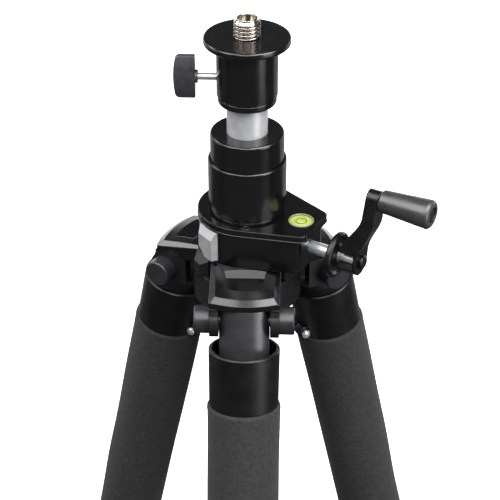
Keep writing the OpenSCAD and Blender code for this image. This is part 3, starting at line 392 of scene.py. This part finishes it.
threadSize = {"radius": 7.94, "pitch": 2.309, "depth": 1.25, "foot": -0.5, "top": 10.6, "lead": 1.7,
              "crest": 0.14, "flank": 0.72, "rim": 6.2, "rimGap": 0.15, "end": 11.7, "bore": 5.1,
              "boreDepth": 7.0, "corner": 0.3, "outerLip": ((0.0, -0.35), (-0.1, -0.12), (-0.3, 0.0)),
              "innerLip": ((0.3, 0.0), (0.08, -0.12), (0.0, -0.35)), "rows": 190, "columns": 128,
              "sharp": 89.0}


# screw thread: radius falls from crest to root with the distance of a point from the nearest turn of the
# helix, counted in pitches along z minus turns round the axis, eased at crest and root, and is narrowed to
# the rim over the lead; over it stand a plain rim and an open bore
def threadStud(size):
    angles = roundAngles(size["columns"])[None, :]
    height = np.linspace(size["foot"], size["top"], size["rows"])[:, None] + 0 * angles
    phase = np.abs((height / size["pitch"] - angles / (2 * np.pi)) % 1.0 - 0.5) * 2.0
    groove = np.clip((phase - size["crest"]) / size["flank"], 0.0, 1.0)
    radius = size["radius"] - size["depth"] * groove ** 2 * (3 - 2 * groove)
    share = np.clip((height - size["top"] + size["lead"]) / size["lead"], 0.0, 1.0)
    radius = np.minimum(radius, size["radius"] + (size["rim"] - size["radius"]) * share)
    rim, bore, end = size["rim"], size["bore"], size["end"]
    floor = end - size["boreDepth"]
    outline = np.array([[rim, size["top"] + size["rimGap"]]]
                       + [[rim + across, end + up] for across, up in size["outerLip"]]
                       + [[bore + across, end + up] for across, up in size["innerLip"]]
                       + [[bore, floor + size["corner"]], [bore - size["corner"], floor]])
    radius = np.vstack([radius, outline[:, :1] + 0 * angles])
    height = np.vstack([height, outline[:, 1:] + 0 * angles])
    poles = np.array([[0, 0, size["foot"]], [0, 0, floor]])
    piece = surfacePiece("stud_thread", carriedRound(radius, height, angles), np.eye(4), finishes["nickel"],
                         "adapter", poles, size["sharp"])
    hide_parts("thread_stud")


threadStud(threadSize)
print("thread cut")

collarSize = {"radius": 24.25, "bore": 16.6, "low": -113.7, "top": -80.4, "round": 1.0, "foot": 0.5,
              "plainFoot": 1.2, "plainHead": 0.6, "flutes": 120, "flutePoints": 6, "depth": 0.02,
              "rows": 24, "roundRows": 9}


# lock collar: a tube with a quarter-round rim, its side drawn in by a fine cosine wave round it, one wave a
# flute; the rows run up the outside, over the rim and down the bore
def lockCollar(size):
    angles = roundAngles(size["flutes"] * size["flutePoints"])[None, :]
    turn = np.linspace(0.0, np.pi / 2, size["roundRows"])[:, None]
    side = np.linspace(size["low"] + size["plainFoot"], size["top"] - size["round"] - size["plainHead"],
                       size["rows"])[:, None]
    wave = size["depth"] / 2 * (1 - np.cos(size["flutes"] * angles))
    rim = size["radius"] - size["round"] * (1 - np.cos(turn))
    ends = np.array([[size["bore"]], [size["radius"] - size["foot"]], [size["radius"]]])
    radius = np.vstack([ends + 0 * angles, size["radius"] - wave + 0 * side, rim + 0 * angles,
                        ends[:1] + 0 * angles])
    height = np.vstack([[[size["low"]], [size["low"]], [size["low"] + size["foot"]]], side,
                        size["top"] - size["round"] * (1 - np.sin(turn)), [[size["top"]]]]) + 0 * angles
    piece = surfacePiece("collar_fluted", carriedRound(radius, height, angles), np.eye(4),
                         finishes["gloss"], "lock_ring")
    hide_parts("lock_collar")


lockCollar(collarSize)
print("collar turned")

yokeSize = {"radius": 15.7, "squash": 0.74, "neck": 13.6, "low": -40.0, "step": -28.0, "taper": 3.0,
            "top": 8.5, "rise": 0.06, "back": -10.8, "backEnd": -13.0, "round": 0.4, "edge": 0.12,
            "inner": (0.95, 0.9, 0.84, 0.78, 0.7, 0.4, 0.1), "rows": 40, "columns": 144}


# leg yoke: a bar on a thinner neck, half round inside and flattened to half an ellipse outside; its top
# rises slightly outwards under the edge of the cap, and its inner side is cut flat above the neck
def legYoke(legName, size):
    angles = roundAngles(size["columns"])[None, :]

    def topAt(radius):
        return size["top"] + size["rise"] * radius * np.maximum(np.cos(angles), 0.0)

    share = np.linspace(0.0, 1.0, size["rows"])[:, None]
    r, plain = size["radius"], 0 * angles
    inner = r * np.array(size["inner"])
    radius = np.vstack([size["neck"] + plain, size["neck"] + plain, r + plain + 0 * share,
                        r - size["edge"] + plain, r - size["round"] + plain] + [v + plain for v in inner])
    height = np.vstack([size["low"] + plain, size["step"] - size["taper"] + plain,
                        size["step"] + share * (topAt(r) - size["round"] - size["step"]),
                        topAt(r) - size["edge"], topAt(r - size["round"])] + [topAt(v) for v in inner])
    grid = carriedRound(radius, height, angles)
    grid[..., 0] *= np.where(grid[..., 0] > 0, size["squash"], 1.0)
    cut = (height > size["backEnd"]) & (grid[..., 0] < size["back"])
    grid[..., 0] = np.where(cut, size["back"], grid[..., 0])
    poles = np.array([[0, 0, size["low"]], [0, 0, size["top"]]])
    piece = surfacePiece("yoke_bar_" + legName, grid, legPlace(legName), finishes["yoke"],
                         "leg_" + legName, poles)
    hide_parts("leg_yoke_" + legName)


for legName in legNames:
    legYoke(legName, yokeSize)
print("yokes turned")

# each wave: how many round the sleeve, how many radians down its length, and its weight
foamSize = {"radius": 23.3, "bore": 16.05, "start": 56.2, "length": 240.0, "round": 2.6, "uneven": 0.16,
            "rest": 1.5, "fade": 0.3, "waves": ((2, 5, 1.0), (3, -9, 1.0), (0, 14, 1.0), (5, 17, 0.6)),
            "rows": 150, "roundRows": 10, "boreRows": 24, "columns": 96, "seed": 11}


# foam sleeve: outer radius with quarter-round ends, between them drawn in slightly and swollen unevenly by a
# few slow waves that fade towards the ends, and a plain bore; the rows run down the outside and back up
# the bore
def foamSleeve(legName, size, seed):
    angles = roundAngles(size["columns"])[None, :]
    share = np.linspace(0.0, 1.0, size["rows"])[:, None]
    end = size["start"] + size["length"]
    turn = np.linspace(0.0, np.pi / 2, size["roundRows"])[:, None]
    topRadius = size["radius"] - size["round"] * (1 - np.sin(turn))
    topDepth = size["start"] + size["round"] * (1 - np.cos(turn))
    sideDepth = size["start"] + size["round"] + share[1:-1] * (size["length"] - 2 * size["round"])
    phases = np.random.default_rng(seed).uniform(0, 2 * np.pi, len(size["waves"]))
    swell = sum(weight * np.sin(around * angles + phase + down * share)
                for (around, down, weight), phase in zip(size["waves"], phases))
    fade = np.sin(np.pi * share) ** size["fade"]
    sideRadius = size["radius"] + (size["uneven"] * (swell - size["rest"]) * fade)[1:-1]
    radius = np.vstack([topRadius + 0 * angles, sideRadius, topRadius[::-1] + 0 * angles])
    depth = np.vstack([topDepth, sideDepth, size["start"] + end - topDepth[::-1]]) + 0 * angles
    bore = np.full((size["boreRows"], 1), size["bore"]) + 0 * angles
    boreDepth = np.linspace(end, size["start"], size["boreRows"])[:, None] + 0 * angles
    grid = carriedRound(np.vstack([radius, bore]), -np.vstack([depth, boreDepth]), angles)
    piece = surfacePiece("foam_sleeve_" + legName, grid, legPlace(legName), finishes["foam"],
                         "leg_" + legName)
    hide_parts("foam_grip_" + legName)


for count, legName in enumerate(legNames):
    foamSleeve(legName, foamSize, foamSize["seed"] + count)
print("foam sleeves made")

boltSize = {"reach": -22.5, "depth": 51.0, "shank": 1.9, "head": 2.9, "headStart": 8.3, "headEnd": 10.9,
            "headEdge": 0.2, "headSide": 0.9, "domeShare": 0.92, "domeRows": 9, "across": 5.4,
            "nutStart": -10.6, "nutEnd": -8.3, "crown": 0.1, "crownEdge": 0.2, "flatStart": 0.45,
            "flatEnd": 0.1, "flatEdge": 0.3, "tip": -11.4, "tipTaper": 0.5, "tipLength": 0.4, "columns": 72,
            "sharp": 30.0}


# pinch bolt: rows run along its axis from the screw's tip over the six flats of the nut and the shank to the
# dome of the head; the nut's radius is half its width over the cosine of the angle from the middle of a flat
def pinchBolt(legName, size):
    angles = roundAngles(size["columns"])[None, :]
    plain = 0 * angles
    flat = size["across"] / 2 / np.cos((angles + np.pi / 6) % (np.pi / 3) - np.pi / 6)
    crown = np.minimum(flat, size["across"] / 2 + size["crown"])
    dome = np.linspace(0.0, size["domeShare"], size["domeRows"])[:, None] * np.pi / 2
    start, end = size["headStart"] + size["headSide"], size["headEnd"]
    rows = ((size["shank"] - size["tipTaper"], size["tip"]),
            (size["shank"], size["tip"] + size["tipLength"]),
            (size["shank"], size["nutStart"]), (crown - size["crownEdge"], size["nutStart"]),
            (crown, size["nutStart"] + size["crownEdge"]), (flat, size["nutStart"] + size["flatStart"]),
            (flat, size["nutEnd"] - size["flatEnd"]), (flat - size["flatEdge"], size["nutEnd"]),
            (size["shank"], size["nutEnd"]), (size["shank"], size["headStart"]),
            (size["head"] - size["headEdge"], size["headStart"]),
            (size["head"], size["headStart"] + size["headEdge"]))
    radius = np.vstack([rowRadius + plain for rowRadius, _ in rows] + [size["head"] * np.cos(dome) + plain])
    height = np.vstack([rowHeight + plain for _, rowHeight in rows]
                       + [start + (end - start) * np.sin(dome) + plain])
    poles = np.array([[0, 0, size["tip"]], [0, 0, end]])
    piece = surfacePiece("pinch_bolt_" + legName, carriedRound(radius, height, angles),
                         boltPlace(legName, size), finishes["steel"], "leg_" + legName, poles, size["sharp"])


# place of a pinch bolt: across the inner side of the leg cup, its axis level
def boltPlace(legName, size):
    seat = Matrix.Translation((size["reach"] * mm, 0, -size["depth"] * mm))
    return legPlace(legName) @ np.array(seat @ Matrix.Rotation(-np.pi / 2, 4, "X"))


earSize = {"width": 4.2, "height": 4.7, "gap": 0.8, "end": 7.9, "round": 0.9, "roundRows": 7, "columns": 64}


# clamp ear: a rounded lobe round the bolt, its ends rolled over by a quarter circle; rows run along it
def clampEar(legName, side, size):
    angles = roundAngles(size["columns"])[None, :]
    turn = np.linspace(0.0, np.pi / 2, size["roundRows"])
    inset = np.concatenate([1 - np.sin(turn), 1 - np.sin(turn[::-1])])[:, None] * size["round"]
    along = np.concatenate([size["gap"] + size["round"] * (1 - np.cos(turn)),
                            size["end"] - size["round"] * (1 - np.cos(turn[::-1]))])[:, None] + 0 * angles
    grid = np.stack([(size["width"] - inset) * np.cos(angles), (size["height"] - inset) * np.sin(angles),
                     side * along], axis=-1)
    poles = np.array([[0, 0, side * size["gap"]], [0, 0, side * size["end"]]])
    name = "clamp_ear_" + legName + ("_head" if side > 0 else "_nut")
    piece = surfacePiece(name, grid, boltPlace(legName, boltSize), finishes["satin"], "leg_" + legName,
                         poles)


for legName in legNames:
    pinchBolt(legName, boltSize)
    clampEar(legName, 1, earSize)
    clampEar(legName, -1, earSize)
print("pinch bolts set")

plateScrewSize = {"place": (0.0, -27.0, -115.6), "radius": 2.9, "rise": 0.55, "drop": 0.4, "edge": 0.12,
                  "crown": 0.5, "bevel": 0.15, "socket": 1.35, "sink": 1.0, "point": 0.1, "columns": 72,
                  "sharp": 30.0}


# round screw head with a six-sided socket: rows run up the rim, over the crown and down the socket walls
def plateScrew(size):
    angles = roundAngles(size["columns"])[None, :]
    plain = 0 * angles
    socket = size["socket"] * np.cos(np.pi / 6) / np.cos((angles + np.pi / 6) % (np.pi / 3) - np.pi / 6)
    r, h, bevel = size["radius"], size["rise"], size["bevel"]
    radius = np.vstack([r + plain, r + plain, r - size["edge"] + plain, r - size["crown"] + plain,
                        socket + bevel, socket, socket])
    levels = np.array([-size["drop"], h - size["drop"], h - bevel, h, h, h - bevel, h - size["sink"]])
    height = levels[:, None] + plain
    poles = np.array([[0, 0, -size["drop"]], [0, 0, h - size["sink"] - size["point"]]])
    place = np.array(Matrix.Translation([v * mm for v in size["place"]]))
    piece = surfacePiece("plate_screw", carriedRound(radius, height, angles), place, finishes["crank"],
                         "base", poles, size["sharp"])


plateScrew(plateScrewSize)

edgeSize = {"radius": 0.5, "upperInset": 0.42, "upper": -116.02, "lowerInset": 0.1, "lower": -119.75,
            "points": 420, "sectionPoints": 20}


# rolled edge of the top plate: a round section carried along the plate's outline, the convex hull of its
# corners walked in equal steps and moved inwards along its normals
def plateEdge(name, size, inset, height):
    corners = [tuple(corner.co.xy) for corner in nodes["top_plate"].data.vertices]
    hull = np.array([corners[i] for i in convex_hull_2d(corners)]) / mm
    hull = np.vstack([hull, hull[:1]])
    walked = np.concatenate([[0.0], np.cumsum(np.linalg.norm(np.diff(hull, axis=0), axis=1))])
    steps = np.linspace(0.0, walked[-1], size["points"], endpoint=False)
    path = np.stack([np.interp(steps, walked, hull[:, k]) for k in (0, 1)], axis=-1)
    along = np.roll(path, -1, axis=0) - np.roll(path, 1, axis=0)
    outward = np.stack([along[:, 1], -along[:, 0]], axis=-1) / np.linalg.norm(along, axis=1)[:, None]
    outward *= np.sign((outward * (path - path.mean(axis=0))).sum())
    section = roundAngles(size["sectionPoints"])[:, None, None]
    flat = path + outward * (size["radius"] * np.cos(section) - inset)
    rise = height + size["radius"] * np.sin(section[..., 0]) + 0 * flat[..., 0]
    grid = np.concatenate([flat, rise[..., None]], axis=-1)
    piece = surfacePiece(name, grid, np.eye(4), finishes["cast"], "base")


plateEdge("plate_edge_upper", edgeSize, edgeSize["upperInset"], edgeSize["upper"])
plateEdge("plate_edge_lower", edgeSize, edgeSize["lowerInset"], edgeSize["lower"])

markSize = {"radius": 3.3, "width": 0.42, "height": 0.16, "sunk": 0.02, "sectionPoints": 16, "columns": 72}


# ring mark: a flat band with rounded section carried round the vial's axis
def levelRing(size, place):
    angles = roundAngles(size["columns"])[None, :]
    section = roundAngles(size["sectionPoints"])[:, None]
    radius = size["radius"] + size["width"] / 2 * np.cos(section) + 0 * angles
    height = size["height"] / 2 * (1 + np.sin(section)) - size["sunk"] + 0 * angles
    piece = surfacePiece("level_mark", carriedRound(radius, height, angles), place, finishes["abs"], "base")


rimSize = {"radius": 7.35, "width": 1.1, "height": 0.7, "middle": 0.5, "sectionPoints": 24, "columns": 96}


# rim of the lens: an ellipse carried round the vial's axis, seated on the cup's edge
def levelRim(size, place):
    angles = roundAngles(size["columns"])[None, :]
    section = roundAngles(size["sectionPoints"])[:, None]
    radius = size["radius"] + size["width"] / 2 * np.cos(section) + 0 * angles
    height = size["middle"] + size["height"] / 2 * np.sin(section) + 0 * angles
    piece = surfacePiece("level_rim", carriedRound(radius, height, angles), place, finishes["acrylic"],
                         "base")


bubbleSize = {"radius": 1.6, "height": 0.4, "drift": (0.35, 0.2), "first": 0.02, "sunk": 0.02, "rows": 14,
              "columns": 48}


# bubble: a low dome, its height falling as the square root of one less the squared distance from its middle
def levelBubble(size, place):
    angles = roundAngles(size["columns"])[None, :]
    share = np.linspace(size["first"], 1.0, size["rows"])[:, None]
    radius = size["radius"] * np.sin(share * np.pi / 2) + 0 * angles
    height = size["height"] * np.cos(share * np.pi / 2) + 0 * angles
    grid = carriedRound(radius, height, angles)
    grid[..., 0] += size["drift"][0]
    grid[..., 1] += size["drift"][1]
    poles = np.array([[*size["drift"], size["height"]], [*size["drift"], -size["sunk"]]])
    piece = surfacePiece("level_bubble", grid, place, finishes["vial"], "base", poles)


levelSeat = {"reach": 38.3, "turn": math.radians(-28.0), "top": -115.4}
levelPlace = np.array(Matrix.Translation((levelSeat["reach"] * math.cos(levelSeat["turn"]) * mm,
                                          levelSeat["reach"] * math.sin(levelSeat["turn"]) * mm,
                                          levelSeat["top"] * mm)))
levelRing(markSize, levelPlace)
levelRim(rimSize, levelPlace)
levelBubble(bubbleSize, levelPlace)
print("screw and level made")

# studio: pale floor, softboxes at the sides, overhead and behind, camera at the photographed view
white = (1.0, 1.0, 1.0, 1.0)
floorValues = {"dark": "#f2f2f2", "light": "#fafafa", "patch": 400.0, "rough": 0.9, "glow": 0.75,
               "drop": 0.0005, "reach": 30.0}
floorFinish, floorTree, floorShader, floorCoords = startFinish("white_floor_paper")
twoTones(floorTree, floorShader, floorCoords, floorValues["dark"], floorValues["light"],
         floorValues["patch"])
floorShader.inputs["Roughness"].default_value = floorValues["rough"]
floorShader.inputs["Emission Color"].default_value = white
floorShader.inputs["Emission Strength"].default_value = floorValues["glow"]
floorMesh = bpy.data.meshes.new("floor")
floorLow, floorReach = cadBox[0].z - floorValues["drop"], floorValues["reach"]
floorCorners = [(x * floorReach, y * floorReach, floorLow) for x, y in ((-1, -1), (1, -1), (1, 1), (-1, 1))]
floorMesh.from_pydata(floorCorners, [], [(0, 1, 2, 3)])
floorMesh.materials.append(floorFinish)
floor = bpy.data.objects.new("floor", floorMesh)
bpy.context.scene.collection.objects.link(floor)
floor.visible_glossy = floor.visible_diffuse = False

worldStrength = 0.08
world = bpy.data.worlds.new("studio")
world.use_nodes = True
worldBack = world.node_tree.nodes["Background"]
worldBack.inputs["Color"].default_value = white
worldBack.inputs["Strength"].default_value = worldStrength
bpy.context.scene.world = world

lightValues = {
    "boxLeft": {"place": (-1.5, 0.1, 0.1), "aim": (0, 0, -0.15), "size": (0.8, 1.5), "power": 4.5},
    "boxRight": {"place": (1.35, -0.8, 0.0), "aim": (0, 0, -0.2), "size": (0.7, 1.7), "power": 6.0},
    "boxLow": {"place": (0.88, -0.68, -0.22), "aim": (0, -0.06, -0.18), "size": (0.5, 0.4), "power": 3.0},
    "boxTopLeft": {"place": (-0.8, -0.45, 1.1), "aim": (0, -0.1, -0.15), "size": (0.9, 1.5), "power": 24},
    "boxTopRight": {"place": (0.8, -0.45, 1.1), "aim": (0, -0.1, -0.15), "size": (0.9, 1.5), "power": 37},
    "boxFront": {"place": (0.1, -1.2, 1.15), "aim": (0, 0, -0.15), "size": (1.3, 1.0), "power": 22},
    "boxBackLeft": {"place": (-1.19, 0.56, 0.85), "aim": (0, 0, -0.15), "size": (0.56, 0.56), "power": 6},
    "boxBack": {"place": (0.0, 1.9, -0.25), "aim": (0, 0, -0.25), "size": (8.0, 1.0), "power": 46},
    "paperBack": {"place": (0.0, 1.3, -0.76), "aim": (0, 1.2, 0.5), "size": (7.0, 1.1), "power": 8},
    "bounce": {"place": (0.0, -1.3, -0.74), "aim": (0, -1.2, 0.5), "size": (3.0, 1.6), "power": 1.0},
}
for lightName, values in lightValues.items():
    light = bpy.data.lights.new(lightName, "AREA")
    light.shape, light.energy = "RECTANGLE", values["power"]
    light.size, light.size_y = values["size"]
    lamp = bpy.data.objects.new(lightName, light)
    lamp.location = values["place"]
    towards = Vector(values["aim"]) - lamp.location
    lamp.rotation_euler = towards.to_track_quat("-Z", "Y").to_euler()
    bpy.context.scene.collection.objects.link(lamp)
    lamp.visible_camera = False

cameraValues = {"place": (0.03034, -0.79729, 0.36713), "elevation": 32.9, "azimuth": 2.06, "lens": 107.16,
                "sensor": 36.0}
camera = bpy.data.objects.new("camera", bpy.data.cameras.new("camera"))
camera.data.sensor_width, camera.data.lens = cameraValues["sensor"], cameraValues["lens"]
camera.location = cameraValues["place"]
camera.rotation_euler = (math.radians(90.0 - cameraValues["elevation"]), 0.0,
                         math.radians(cameraValues["azimuth"]))
bpy.context.scene.collection.objects.link(camera)
bpy.context.scene.camera = camera
bpy.context.scene.view_settings.view_transform = "Standard"
print("studio lit")
